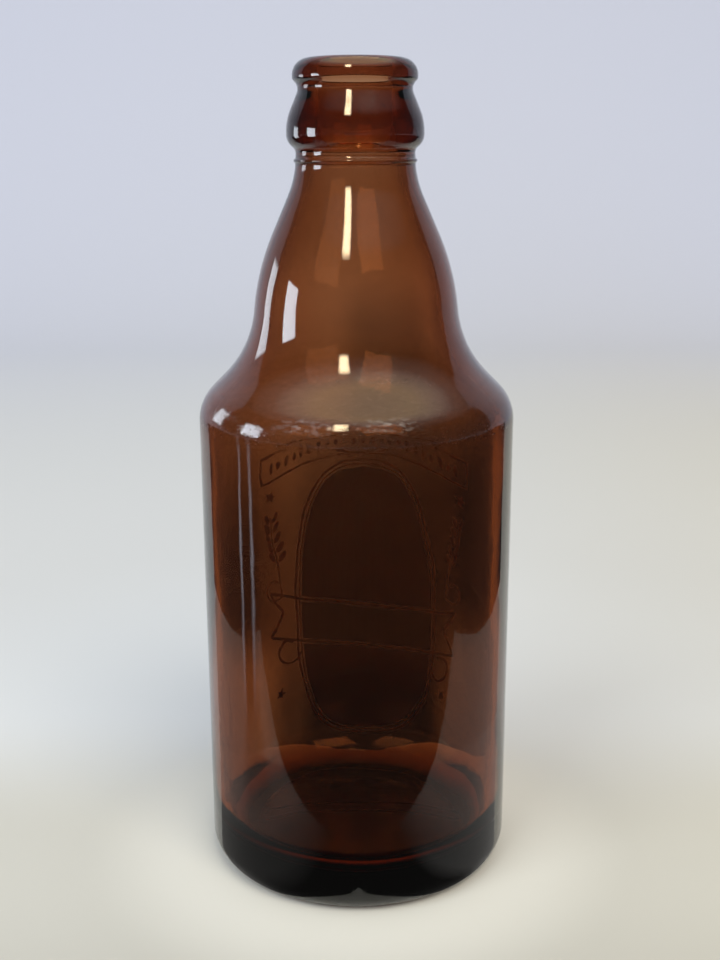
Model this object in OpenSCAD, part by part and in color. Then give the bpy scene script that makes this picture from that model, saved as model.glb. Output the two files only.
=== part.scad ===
// A short-necked beer bottle of one piece of amber glass, open at the mouth.
// The outline is a chain of bends joined by straight lines, turned about the Z axis.
// A heading is an angle in degrees from straight up, positive outwards from the axis.

/* [Overall] */
// Height from the table to the top of the lip
height = 180; // [150:1:230]
// Diameter of the straight body
body_d = 69.6; // [56:0.1:90]

/* [Glass] */
// Thickness of the side wall from the heel up into the neck
wall = 3.5; // [2:0.1:4.4]
// Thickness of the base, measured over the hollow beneath it
base_t = 6; // [3:0.1:9]

/* [Base] */
// Radius of the rounded heel outside
heel_r = 5.7; // [3:0.1:9]
// Radius of the corner between the wall and the floor inside
floor_r = 9; // [4:0.1:14]
// Width of the flat ring that the bottle stands on
ring_w = 4; // [2:0.1:8]
// Height of the hollow under the base
punt_h = 3.5; // [1:0.1:6]

/* [Shoulder] */
// Lean of the shoulder's straight run
shoulder_slope = 44.8; // [35:0.1:60]
// Radius of the bend from the body into the shoulder
shoulder_r = 9.7; // [6:0.1:16]
// Radius of the hollow sweep from the shoulder up to the waist
sweep_r = 23.5; // [12:0.1:32]

/* [Neck] */
// Diameter at the waist, where the sweep ends and the neck's swell begins
waist_d = 44.4; // [38:0.1:50]
// Lean of the wall at the waist
waist_slope = 5.8; // [1:0.1:10]
// Lean of the neck's straight run
neck_slope = 23.7; // [16:0.1:35]
// Radius of the neck's outward swell
swell_r = 53; // [25:0.5:75]
// Radius of the hollow bend that brings the neck upright
neck_r = 20.5; // [10:0.5:35]
// How far the mould's parting ridge lies below the narrowest part of the neck
ridge_drop = 1.6; // [0.5:0.1:5]
// Radius of the parting ridge, which is half sunk in the wall
ridge_r = 0.45; // [0.2:0.05:0.8]

/* [Finish] */
// Outer diameter of the lip that a crown cap grips
lip_d = 26.4; // [22:0.1:32]
// Radius of the lip's rounded top edge
lip_top_r = 3.4; // [2:0.1:4.5]
// Radius under the lip
lip_under_r = 0.8; // [0.4:0.1:1.5]
// How far the lip overhangs the groove beneath it
lip_overhang = 1.1; // [0.6:0.1:1.6]
// Radius of the groove under the lip
groove_r = 2.1; // [1.2:0.1:2.6]
// How far the collar stands out past the lip
collar_out = 1.4; // [0.4:0.1:2.4]
// Distance from the top of the lip down to the collar's widest place
collar_drop = 14.8; // [12:0.1:20]
// Radius of the collar's crown
collar_crown_r = 11.5; // [6:0.1:14]
// Radius of the collar's lower edge
collar_under_r = 3.2; // [2:0.1:5]
// Radius of the hollow under the collar
undercut_r = 1.4; // [0.8:0.1:3]
// How far the neck stands in under the collar
neck_in = 1.9; // [1:0.1:2.6]
// Diameter of the mouth
bore_d = 16; // [13:0.1:20]
// Radius of the mouth's inner edge
mouth_r = 1.4; // [0.5:0.1:2]
// Radius of both bends where the neck narrows to the mouth
throat_r = 6; // [3:0.1:12]

/* [Hidden] */
$fn = 96;
amber = [0.42, 0.20, 0.08, 0.75];
land_w = 0.2;        // flat width kept on top of the lip
band = 0.5;          // upright stretch between two bends that curve the same way
past = 1;            // how far a cut runs past the face it opens
overlap = 0.002;     // how far a bend's arc cuts into the lines that it joins

// Radii of the driving diameters
body_rad = body_d / 2;
waist_rad = waist_d / 2;
lip_rad = lip_d / 2;
bore_rad = bore_d / 2;
collar_rad = lip_rad + collar_out;
neck_rad = collar_rad - neck_in;
lip_w = lip_rad - bore_rad;

// The lip's edges share the width of the glass there
top_edge_r = min(lip_top_r, 0.7 * lip_w);
mouth_edge_r = min(mouth_r, lip_w - top_edge_r - land_w);

// Headings where two bends meet in an S, from the step that they make together
lip_turn = acos(1 - lip_overhang / (groove_r + lip_under_r));
under_turn = acos(1 - neck_in / (undercut_r + collar_under_r));

// Heights, worked down from the top of the lip
lip_z = height - top_edge_r;
groove_z = lip_z - band - (groove_r + lip_under_r) * sin(lip_turn);
collar_z = height - collar_drop;
neck_z = collar_z - band - (undercut_r + collar_under_r) * sin(under_turn);

// Neck: its bends shrink together where the waist is too narrow for them
neck_step = waist_rad - neck_rad;
neck_bends = swell_r * (cos(waist_slope) - cos(neck_slope)) + neck_r * (1 - cos(neck_slope));
neck_fit = min(1, neck_step / neck_bends);
swell_fit_r = swell_r * neck_fit;
neck_fit_r = neck_r * neck_fit;
neck_run = (neck_step - neck_bends * neck_fit) / sin(neck_slope);
waist_z = neck_z - band - neck_run * cos(neck_slope) - neck_fit_r * sin(neck_slope)
    - swell_fit_r * (sin(neck_slope) - sin(waist_slope));

// Shoulder: its bends shrink together where the body is too slim for them
shoulder_step = body_rad - waist_rad;
shoulder_bends = shoulder_r * (1 - cos(shoulder_slope))
    + sweep_r * (cos(waist_slope) - cos(shoulder_slope));
shoulder_fit = min(1, shoulder_step / shoulder_bends);
shoulder_fit_r = shoulder_r * shoulder_fit;
sweep_fit_r = sweep_r * shoulder_fit;
shoulder_run = (shoulder_step - shoulder_bends * shoulder_fit) / sin(shoulder_slope);
shoulder_z = waist_z - shoulder_run * cos(shoulder_slope) - shoulder_fit_r * sin(shoulder_slope)
    - sweep_fit_r * (sin(shoulder_slope) - sin(waist_slope));

// Base: the floor inside follows the dome of the hollow under the base
punt_rad = body_rad - heel_r - ring_w;
punt_dome_r = (punt_rad * punt_rad + punt_h * punt_h) / (2 * punt_h);
punt_dome_z = punt_h - punt_dome_r;
floor_dome_r = punt_dome_r + base_t;
floor_rad = body_rad - wall - floor_r;
floor_z = punt_dome_z + sqrt(floor_dome_r * floor_dome_r - floor_rad * floor_rad);

// Throat: the neck's inside narrows to the mouth, or widens to a mouth that is larger
throat_step = neck_rad - wall - bore_rad;
throat_side = sign(throat_step);
throat_turn = acos(1 - abs(throat_step) / (2 * throat_r));
throat_z = collar_z - throat_r * sin(throat_turn);

// Outward direction of the wall at a heading
function facing(heading) = [cos(heading), -sin(heading)];

// A bend is [centre, radius, first heading, last heading], with a hollow bend's radius negative
function bend_point(bend, heading) = bend[0] + bend[1] * facing(heading);
function bend_ends(bend) = [bend_point(bend, bend[2]), bend_point(bend, bend[3])];

// Heading of the straight line that touches two bends
function line_heading(bend_a, bend_b) =
    let (v = bend_b[0] - bend_a[0])
    atan2(v.x, v.y) - asin((bend_a[1] - bend_b[1]) / norm(v));

// The same bend, moved in from the surface by a thickness
function inner_bend(bend, t) =
    [bend[0], bend[1] > 0 ? max(bend[1] - t, 0.2) : bend[1] - t, bend[2], bend[3]];

waist_point = [waist_rad, waist_z];
wall_bends = [
    [[body_rad - shoulder_fit_r, shoulder_z], shoulder_fit_r, 0, -shoulder_slope],
    [waist_point + sweep_fit_r * facing(-waist_slope), -sweep_fit_r, -shoulder_slope, -waist_slope],
    [waist_point - swell_fit_r * facing(-waist_slope), swell_fit_r, -waist_slope, -neck_slope],
    [[neck_rad + neck_fit_r, neck_z - band], -neck_fit_r, -neck_slope, 0]
];
collar_bend = [[collar_rad - collar_crown_r, collar_z], collar_crown_r];
groove_bend = [[lip_rad - lip_overhang + groove_r, groove_z], -groove_r];
collar_slope = line_heading(collar_bend, groove_bend);
finish_bends = [
    [[neck_rad + undercut_r, neck_z], -undercut_r, 0, under_turn],
    [[collar_rad - collar_under_r, collar_z - band], collar_under_r, under_turn, 0],
    concat(collar_bend, [0, collar_slope]),
    concat(groove_bend, [collar_slope, lip_turn]),
    [[lip_rad - lip_under_r, lip_z - band], lip_under_r, lip_turn, 0],
    [[lip_rad - top_edge_r, lip_z], top_edge_r, 0, -90]
];
heel_bend = [[body_rad - heel_r, heel_r], heel_r, 90, 0];
throat_bends = [
    [[neck_rad - wall - throat_side * throat_r, throat_z], throat_side * throat_r,
        0, -throat_side * throat_turn],
    [[bore_rad + throat_side * throat_r, throat_z + 2 * throat_r * sin(throat_turn)],
        -throat_side * throat_r, -throat_side * throat_turn, 0]
];
floor_bend = [[floor_rad, floor_z + floor_r], floor_r, 90, 0];
mouth_bend = [[bore_rad + mouth_edge_r, height - mouth_edge_r], -mouth_edge_r, 0, 90];

outer_bends = concat([heel_bend], wall_bends, finish_bends);
inner_bends = concat([floor_bend], [for (b = wall_bends) inner_bend(b, wall)], throat_bends,
    [mouth_bend]);

// What a bend adds to or takes from the straight outline. Its arc is a hair too large and runs a
// little past its ends, so that it crosses its neighbours cleanly instead of grazing them.
module bend_sliver(bend) {
    size = abs(bend[1]);
    half_turn = (bend[3] - bend[2]) / 2;
    if (abs(half_turn) > 0.1) {
        reach = abs(half_turn) + asin(1.5 * sqrt(2 * overlap / size));
        middle = facing(bend[2] + half_turn) * sign(bend[1]);
        side = [-middle.y, middle.x];
        chord_r = size * cos(reach);
        intersection() {
            translate(bend[0]) circle(r = size + overlap);
            polygon([
                bend[0] + chord_r * middle - size * sin(reach) * side,
                bend[0] + chord_r * middle + size * sin(reach) * side,
                bend[0] + 1.5 * size * middle + 2 * size * sin(reach) * side,
                bend[0] + 1.5 * size * middle - 2 * size * sin(reach) * side
            ]);
        }
    }
}

// Half outline of a turned shape: first and last points on or near the axis, with the bends between
module half_outline(bends, first, last) {
    difference() {
        union() {
            polygon(concat(first, [for (b = bends) each bend_ends(b)], last));
            for (b = bends) if (b[1] > 0) bend_sliver(b);
        }
        for (b = bends) if (b[1] < 0) bend_sliver(b);
    }
}

module glass_outline() {
    intersection() {
        half_outline(outer_bends, [[0, 0]], [[0, height]]);
        square([body_rad, height]);
    }
    translate([neck_rad, neck_z - ridge_drop]) circle(r = ridge_r);
}

module cavity_outline() {
    top = height + past;
    difference() {
        half_outline(inner_bends, [[0, floor_z]], [[bore_rad + mouth_edge_r, top], [0, top]]);
        translate([0, punt_dome_z]) circle(r = floor_dome_r);
    }
}

module punt_outline() {
    intersection() {
        translate([0, punt_dome_z]) circle(r = punt_dome_r);
        translate([0, -past]) square([punt_rad + past, punt_h + 2 * past]);
    }
}

module bottle() {
    color(amber) rotate_extrude() difference() {
        glass_outline();
        cavity_outline();
        punt_outline();
    }
}

bottle();
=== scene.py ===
"""An amber glass beer bottle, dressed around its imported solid.

The glass is one turned wall, closed over its base and lip, and it stands for the CAD solid. The fired
enamel decoration is a set of thin shapes wrapped round the back of the body. Lengths given in the
classes are millimetres, as in a bottle maker's drawing, and become metres as the meshes are made.
"""

import logging
import math
from collections.abc import Callable, Sequence
from dataclasses import dataclass, field
from enum import Enum

import bmesh
import bpy
from mathutils import Matrix, Vector, noise


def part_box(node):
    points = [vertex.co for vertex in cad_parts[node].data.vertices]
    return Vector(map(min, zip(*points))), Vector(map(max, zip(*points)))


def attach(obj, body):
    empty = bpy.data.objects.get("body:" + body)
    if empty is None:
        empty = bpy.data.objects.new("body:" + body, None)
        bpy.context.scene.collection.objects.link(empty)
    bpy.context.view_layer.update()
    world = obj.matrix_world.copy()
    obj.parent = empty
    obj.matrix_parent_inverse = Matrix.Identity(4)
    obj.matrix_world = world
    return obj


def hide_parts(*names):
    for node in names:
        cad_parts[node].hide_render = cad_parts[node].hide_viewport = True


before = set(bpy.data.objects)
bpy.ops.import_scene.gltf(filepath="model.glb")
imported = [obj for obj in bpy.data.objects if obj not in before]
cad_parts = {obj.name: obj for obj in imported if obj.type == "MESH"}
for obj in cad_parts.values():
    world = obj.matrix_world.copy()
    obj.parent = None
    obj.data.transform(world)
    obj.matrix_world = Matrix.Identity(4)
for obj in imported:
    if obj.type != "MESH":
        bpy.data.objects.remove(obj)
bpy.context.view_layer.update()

MM = 0.001
BODY = "root"
NODE = "bottle"
Point = tuple[float, float]
Place = tuple[float, float, float]
Colour = tuple[float, float, float]
Cut = tuple[Place, Place]
Path = Callable[[float], Point]
Socket = bpy.types.NodeSocket
Node = bpy.types.Node
Material = bpy.types.Material
Object = bpy.types.Object
Mesh = bmesh.types.BMesh

log = logging.getLogger("bottle")


# ---------------------------------------------------------------------------------------------
# Shared helpers


class Rays(Enum):
    """The kinds of light path that a studio card can be hidden from."""

    CAMERA = "visible_camera"
    DIFFUSE = "visible_diffuse"
    GLOSSY = "visible_glossy"
    TRANSMISSION = "visible_transmission"
    SHADOW = "visible_shadow"


class Nodes:
    """A material's node tree, with short calls to add and join nodes."""

    def __init__(self, name: str) -> None:
        """Starts an empty node material.

        Args:
            name: the material's name.
        """
        self.material = bpy.data.materials.new(name)
        self.material.use_nodes = True
        self.tree = self.material.node_tree
        self.tree.nodes.clear()

    def add(self, kind: str, **settings: object) -> Node:
        """Adds a node.

        Args:
            kind: the node's type, without the ShaderNode in front.
            **settings: properties of the node, or values for its inputs by name with _ for a space.

        Returns:
            The new node.
        """
        node = self.tree.nodes.new("ShaderNode" + kind)
        for name, value in settings.items():
            if hasattr(node, name):
                setattr(node, name, value)
            else:
                node.inputs[name.replace("_", " ")].default_value = value
        return node

    def link(self, source: Socket, target: Socket) -> None:
        """Joins an output socket to an input socket."""
        self.tree.links.new(source, target)

    def place(self, scale: Place = (1.0, 1.0, 1.0)) -> Socket:
        """Object coordinates in metres, stretched by a scale.

        Args:
            scale: how much each axis is multiplied by.

        Returns:
            The vector output.
        """
        mapping = self.add("Mapping")
        mapping.inputs["Scale"].default_value = scale
        self.link(self.add("TexCoord").outputs["Object"], mapping.inputs["Vector"])
        return mapping.outputs["Vector"]

    def axes(self, output: str = "Object") -> tuple[Socket, ...]:
        """A coordinate's three parts. Object coordinates are in metres from the base's middle.

        Args:
            output: the kind of coordinate.

        Returns:
            The X, Y and Z sockets.
        """
        split = self.add("SeparateXYZ")
        self.link(self.add("TexCoord").outputs[output], split.inputs["Vector"])
        return tuple(split.outputs)

    def distance(self) -> Socket:
        """Measures from the middle of the base.

        Returns:
            The distance, in metres.
        """
        length = self.add("VectorMath", operation="LENGTH")
        self.link(self.add("TexCoord").outputs["Object"], length.inputs[0])
        return length.outputs["Value"]

    def mixed(self, first: Colour | Socket, second: Colour | Socket, amount: Socket | float,
              blend: str = "MIX") -> Socket:
        """Mixes two colours.

        Args:
            first: the colour at an amount of none.
            second: the colour at an amount of one.
            amount: how much of the second shows.
            blend: how they are put together.

        Returns:
            The mixed colour.
        """
        mix = self.add("Mix", data_type="RGBA", blend_type=blend)
        for name, value in (("A", first), ("B", second), ("Factor", amount)):
            if isinstance(value, Socket):
                self.link(value, mix.inputs[name])
            else:
                mix.inputs[name].default_value = (*value, 1.0) if isinstance(value, tuple) else value
        return mix.outputs["Result"]

    def noise(self, vector: Socket, size_mm: float, detail: float = 2.0,
              roughness: float = 0.5) -> Socket:
        """Cloudy noise over a vector in metres.

        Args:
            vector: where the noise is read.
            size_mm: the rough size of one patch.
            detail: how many finer layers are added.
            roughness: how strong the finer layers are.

        Returns:
            The noise as a value near one half.
        """
        node = self.add("TexNoise", Scale=1.0 / (size_mm * MM), Detail=detail, Roughness=roughness)
        self.link(vector, node.inputs["Vector"])
        return node.outputs["Fac"]

    def ramp(self, value: Socket, stops: Sequence[Point]) -> Socket:
        """A grey ramp of a value.

        Args:
            value: the value that runs along the ramp.
            stops: positions and grey levels, in order.

        Returns:
            The grey level.
        """
        node = self.add("ValToRGB")
        band = node.color_ramp
        while len(band.elements) < len(stops):
            band.elements.new(0.5)
        for element, (place, level) in zip(band.elements, stops):
            element.position = place
            element.color = (level, level, level, 1.0)
        self.link(value, node.inputs["Fac"])
        return node.outputs["Color"]

    def math(self, operation: str, *values: Socket | float) -> Socket:
        """One sum on sockets or numbers.

        Args:
            operation: the Math node's operation.
            *values: its operands.

        Returns:
            The result.
        """
        node = self.add("Math", operation=operation)
        for socket, value in zip(node.inputs, values):
            if isinstance(value, (int, float)):
                socket.default_value = value
            else:
                self.link(value, socket)
        return node.outputs[0]

    def between(self, value: Socket, ends: Point, low: float,
                high: float) -> Socket:
        """A smooth step of a length.

        Args:
            value: the length, in metres.
            ends: where the step starts and ends, in millimetres.
            low: the level before it.
            high: the level after it.

        Returns:
            The level.
        """
        step = self.add("MapRange", interpolation_type="SMOOTHSTEP")
        for name, number in (("From Min", ends[0] * MM), ("From Max", ends[1] * MM), ("To Min", low),
                             ("To Max", high)):
            step.inputs[name].default_value = number
        self.link(value, step.inputs["Value"])
        return step.outputs["Result"]

    def surface(self, shader: Node, volume: Node | None = None) -> Material:
        """Sends the shaders to the output.

        Args:
            shader: the surface shader's node.
            volume: the volume shader's node, or none.

        Returns:
            The finished material.
        """
        output = self.add("OutputMaterial")
        self.link(shader.outputs[0], output.inputs["Surface"])
        if volume is not None:
            self.link(volume.outputs[0], output.inputs["Volume"])
        return self.material


def finish_mesh(name: str, bm: Mesh, smooth: bool = True) -> Object:
    """Turns a bmesh into an object at the origin.

    Args:
        name: the object's name.
        bm: the finished bmesh, which is freed.
        smooth: whether faces are shaded smooth.

    Returns:
        The new object, linked to the scene.
    """
    mesh = bpy.data.meshes.new(name)
    for face in bm.faces:
        face.smooth = smooth
    bm.to_mesh(mesh)
    bm.free()
    made = bpy.data.objects.new(name, mesh)
    bpy.context.scene.collection.objects.link(made)
    return made


def keep_inside(bm: Mesh, cut: Cut) -> None:
    """Cuts away what lies past a plane, given by a point on it and the way past it."""
    bmesh.ops.bisect_plane(bm, geom=bm.verts[:] + bm.edges[:] + bm.faces[:], plane_co=cut[0],
                           plane_no=cut[1], clear_outer=True)


def light_up(made: Object, material: Material, seen_by: tuple[Rays, ...] = (Rays.GLOSSY,)) -> None:
    """Gives a stage piece its face, and hides it from the other rays.

    Args:
        made: the piece.
        material: its face.
        seen_by: the rays that see it.
    """
    made.data.materials.append(material)
    for rays in Rays:
        setattr(made, rays.value, rays in seen_by)


def dress(piece: Object, material: Material, slot: str) -> None:
    """Gives a piece of the bottle its material and its body, and logs its slot.

    Args:
        piece: the piece.
        material: its finish.
        slot: the record's material slot.
    """
    piece.data.materials.append(material)
    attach(piece, BODY)
    log.info("%s: %d faces, %s", piece.name, len(piece.data.polygons), slot)


# ---------------------------------------------------------------------------------------------
# Finishes


@dataclass(frozen=True)
class AmberGlass:
    """Clear amber container glass, coloured all through and scuffed where bottles rub."""

    ior: float = 1.52
    tint: Colour = (0.73, 0.45, 0.16)
    density: float = 600.0
    polish: float = 0.012
    scuff: float = 0.30
    ripple_mm: float = 0.085
    seam_mm: float = 0.10
    seam_half_w: float = 0.6

    def material(self, sizes: "Outline") -> Material:
        """Makes the glass.

        Args:
            sizes: the outline, which says where the wall is widest and so rubs.

        Returns:
            The material.
        """
        nodes = Nodes("amber_glass")
        glass = nodes.add("BsdfPrincipled", IOR=self.ior)
        glass.inputs["Base Color"].default_value = (1.0, 1.0, 1.0, 1.0)
        glass.inputs["Transmission Weight"].default_value = 1.0
        nodes.link(self._roughness(nodes, sizes), glass.inputs["Roughness"])
        nodes.link(self._relief(nodes, sizes), glass.inputs["Normal"])
        body = nodes.add("VolumeAbsorption", Density=self.density)
        body.inputs["Color"].default_value = (*self.tint, 1.0)
        return nodes.surface(glass, body)

    def _roughness(self, nodes: Nodes, sizes: "Outline") -> Socket:
        """Polishes the glass, but for a scuffed band at shoulder and heel and faint smears.

        Args:
            nodes: the glass's nodes.
            sizes: the outline, for the height of the bands.

        Returns:
            The roughness.
        """
        share = nodes.math("DIVIDE", nodes.axes()[2], sizes.height * MM)
        shoulder = (sizes.shoulder_z - 2.0) / sizes.height
        bands = nodes.ramp(share, [
            (0.0, 0.8), (0.03, 0.6), (0.055, 0.0), (shoulder - 0.012, 0.0),
            (shoulder + 0.012, 0.9), (shoulder + 0.05, 0.7), (shoulder + 0.11, 0.0)])
        grit = nodes.ramp(nodes.noise(nodes.place((1.0, 1.0, 2.5)), 1.6, 6.0, 0.75),
                          [(0.48, 0.0), (0.62, 1.0)])
        smear = nodes.ramp(nodes.noise(nodes.place((1.0, 1.0, 0.4)), 14.0, 3.0),
                           [(0.42, 0.0), (0.75, 1.0)])
        worn = nodes.math("MULTIPLY", nodes.math("MULTIPLY", bands, grit), self.scuff)
        hazed = nodes.math("MULTIPLY_ADD", smear, 0.03, self.polish)
        return nodes.math("ADD", worn, hazed)

    def _relief(self, nodes: Nodes, sizes: "Outline") -> Socket:
        """Adds soft ripples left by blowing, and the mould's seam up both sides.

        Args:
            nodes: the glass's nodes.
            sizes: the outline, for the height where the seam ends.

        Returns:
            The normal.
        """
        ripple = nodes.noise(nodes.place((1.0, 1.0, 0.55)), 9.0, 2.0, 0.4)
        pores = nodes.noise(nodes.place(), 1.4, 2.0, 0.5)
        rough = nodes.math("MULTIPLY_ADD", pores, 0.03, ripple)
        _, y, z = nodes.axes()
        across = nodes.math("DIVIDE", nodes.math("ABSOLUTE", y), self.seam_half_w * MM)
        seam = nodes.ramp(across, [(0.0, 1.0), (0.45, 0.8), (1.0, 0.0)])
        below = nodes.math("LESS_THAN", z, (sizes.neck_z - 1.0) * MM)
        ridge = nodes.math("MULTIPLY", seam, below)
        waves = nodes.add("Bump", Strength=1.0, Distance=self.ripple_mm * MM)
        nodes.link(rough, waves.inputs["Height"])
        seams = nodes.add("Bump", Strength=1.0, Distance=self.seam_mm * MM)
        nodes.link(ridge, seams.inputs["Height"])
        nodes.link(waves.outputs["Normal"], seams.inputs["Normal"])
        return seams.outputs["Normal"]


@dataclass(frozen=True)
class Enamel:
    """Ceramic ink fired on to glass: satin, slightly uneven, with pinholes."""

    name: str
    colour: Colour
    deep: Colour
    roughness: float = 0.38

    def material(self) -> Material:
        """Makes the ink.

        Returns:
            The material.
        """
        nodes = Nodes(self.name)
        ink = nodes.add("BsdfPrincipled", IOR=1.5)
        patches = nodes.ramp(nodes.noise(nodes.place(), 5.0, 4.0, 0.6), [(0.3, 0.0), (0.7, 1.0)])
        pinholes = nodes.ramp(nodes.noise(nodes.place(), 0.45, 2.0, 0.5), [(0.27, 1.0), (0.34, 0.0)])
        uneven = nodes.math("MAXIMUM", nodes.math("MULTIPLY", patches, 0.55), pinholes)
        nodes.link(nodes.mixed(self.colour, self.deep, uneven), ink.inputs["Base Color"])
        nodes.link(nodes.math("MULTIPLY_ADD", patches, 0.15, self.roughness), ink.inputs["Roughness"])
        grain = nodes.add("Bump", Strength=0.4, Distance=0.03 * MM)
        nodes.link(nodes.noise(nodes.place(), 0.3, 2.0), grain.inputs["Height"])
        nodes.link(grain.outputs["Normal"], ink.inputs["Normal"])
        return nodes.surface(ink)


@dataclass(frozen=True)
class Paper:
    """Plain matt paper with painted shade towards the camera, painted light round the bottle against
    its shadow and a painted warm light to the right; cooler far up.
    """

    # Painted shade: the paper is darker at the front, towards the camera.
    front: Colour = (0.46, 0.445, 0.385)
    floor: Colour = (0.64, 0.63, 0.56)
    back: Colour = (0.75, 0.77, 0.76)
    # Painted light: the paper close round the bottle is lighter, filling in the shadow that the bottle
    # casts.
    close: Colour = (0.80, 0.79, 0.71)
    plain: Colour = (0.70, 0.71, 0.69)
    top: Colour = (0.68, 0.70, 0.785)
    # Painted light: a warm cast on the paper towards the right, standing for warm light from that side.
    warm: Colour = (1.0, 0.95, 0.85)
    painted_shade_y: Point = (-105.0, -20.0)
    back_y: Point = (0.0, 70.0)
    painted_light_reach: Point = (38.0, 68.0)
    plain_reach: Point = (110.0, 240.0)
    top_reach: Point = (350.0, 1200.0)
    painted_warmth_x: Point = (-60.0, 260.0)

    def material(self) -> Material:
        """Makes the paper.

        Returns:
            The material.
        """
        nodes = Nodes("studio_paper")
        sheet = nodes.add("BsdfPrincipled", Roughness=0.9)
        sheet.inputs["Specular IOR Level"].default_value = 0.0
        x, y, _ = nodes.axes()
        reach = nodes.distance()
        # Painted shade towards the camera.
        tone = nodes.mixed(self.front, self.floor, nodes.between(y, self.painted_shade_y, 0.0, 1.0))
        tone = nodes.mixed(tone, self.back, nodes.between(y, self.back_y, 0.0, 1.0))
        # Painted light round the bottle, against its own shadow on the floor.
        tone = nodes.mixed(tone, self.close, nodes.between(reach, self.painted_light_reach, 1.0, 0.0))
        tone = nodes.mixed(tone, self.plain, nodes.between(reach, self.plain_reach, 0.0, 1.0))
        # Painted warm light, growing towards the right.
        tint = nodes.mixed((1.0, 1.0, 1.0), self.warm, nodes.between(x, self.painted_warmth_x, 0.0, 1.0))
        tone = nodes.mixed(tone, tint, 1.0, "MULTIPLY")
        tone = nodes.mixed(tone, self.top, nodes.between(reach, self.top_reach, 0.0, 1.0))
        nodes.link(tone, sheet.inputs["Base Color"])
        return nodes.surface(sheet)


@dataclass(frozen=True)
class Glow:
    """The shining face of a studio card, which can fade out towards its rim."""

    colour: Colour
    strength: float
    soft: float = 0.0

    def material(self, name: str) -> Material:
        """Makes the glowing face.

        Args:
            name: the material's name.

        Returns:
            The material.
        """
        nodes = Nodes(name)
        glow = nodes.add("Emission", Color=(*self.colour, 1.0), Strength=self.strength)
        nodes.material.cycles.emission_sampling = "NONE"
        if self.soft == 0.0:
            return nodes.surface(glow)
        sides = []
        for along in nodes.axes("UV")[:2]:
            edge = nodes.math("DIVIDE", nodes.math("PINGPONG", along, 0.5), 0.5 * self.soft)
            sides.append(nodes.ramp(edge, [(0.0, 0.0), (1.0, 1.0)]))
        mix = nodes.add("MixShader")
        nodes.link(nodes.math("MULTIPLY", *sides), mix.inputs[0])
        nodes.link(nodes.add("BsdfTransparent").outputs[0], mix.inputs[1])
        nodes.link(glow.outputs[0], mix.inputs[2])
        return nodes.surface(mix)


@dataclass(frozen=True)
class Room:
    """A dim room, as the glass mirrors it: dark low down, with a warm ceiling."""

    radius: float = 3.0
    lean: float = 0.06
    wall: Colour = (0.9, 0.95, 1.0)
    wall_level: float = 0.10
    wall_stops: tuple[Point, ...] = ((0.0, 1.0), (0.3, 0.9), (0.65, 0.5))
    ceiling: Colour = (1.0, 0.80, 0.52)
    ceiling_level: float = 2.6
    ceiling_stops: tuple[Point, ...] = ((0.60, 0.0), (0.76, 0.16), (0.92, 1.0), (1.0, 0.85))

    def material(self) -> Material:
        """Makes the room's glow, which grows from the horizon to the ceiling.

        Returns:
            The material.
        """
        nodes = Nodes("room_glow")
        nodes.material.cycles.emission_sampling = "NONE"
        x, _, z = nodes.axes()
        share = nodes.math("DIVIDE", nodes.math("MULTIPLY_ADD", x, self.lean, z), self.radius)
        wall = nodes.math("MULTIPLY", nodes.ramp(share, self.wall_stops), self.wall_level)
        top = nodes.ramp(share, self.ceiling_stops)
        glow = nodes.add("Emission")
        nodes.link(nodes.mixed(self.wall, self.ceiling, top), glow.inputs["Color"])
        nodes.link(nodes.math("MULTIPLY_ADD", top, self.ceiling_level, wall), glow.inputs["Strength"])
        return nodes.surface(glow)


@dataclass(frozen=True)
class Apron:
    """The floor close round the front of the bottle: dim in the middle, lit at the sides."""

    colour: Colour = (1.0, 0.97, 0.92)
    near: tuple[float, float, float] = (0.24, 0.07, 0.40)
    far: tuple[float, float, float] = (0.40, 0.05, 0.48)
    blur: Point = (0.0, 0.12)
    half: float = 90.0
    change: Point = (48.0, 62.0)

    def material(self) -> Material:
        """Makes the floor's glow, by place across and by distance from the bottle.

        Returns:
            The material.
        """
        nodes = Nodes("apron_glow")
        nodes.material.cycles.emission_sampling = "NONE"
        across = nodes.math("MULTIPLY_ADD", nodes.axes()[0], 0.5 / (self.half * MM), 0.5)
        near, far = (
            nodes.ramp(across, [(0.0, left), (0.34 - blur, left), (0.40, middle), (0.64, middle),
                                (0.68 + blur, right), (1.0, right)])
            for (left, middle, right), blur in zip((self.near, self.far), self.blur))
        away = nodes.between(nodes.distance(), self.change, 0.0, 1.0)
        level = nodes.math("ADD", nodes.math("MULTIPLY", far, away),
                           nodes.math("MULTIPLY", near, nodes.math("SUBTRACT", 1.0, away)))
        glow = nodes.add("Emission", Color=(*self.colour, 1.0))
        nodes.link(level, glow.inputs["Strength"])
        return nodes.surface(glow)


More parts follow.
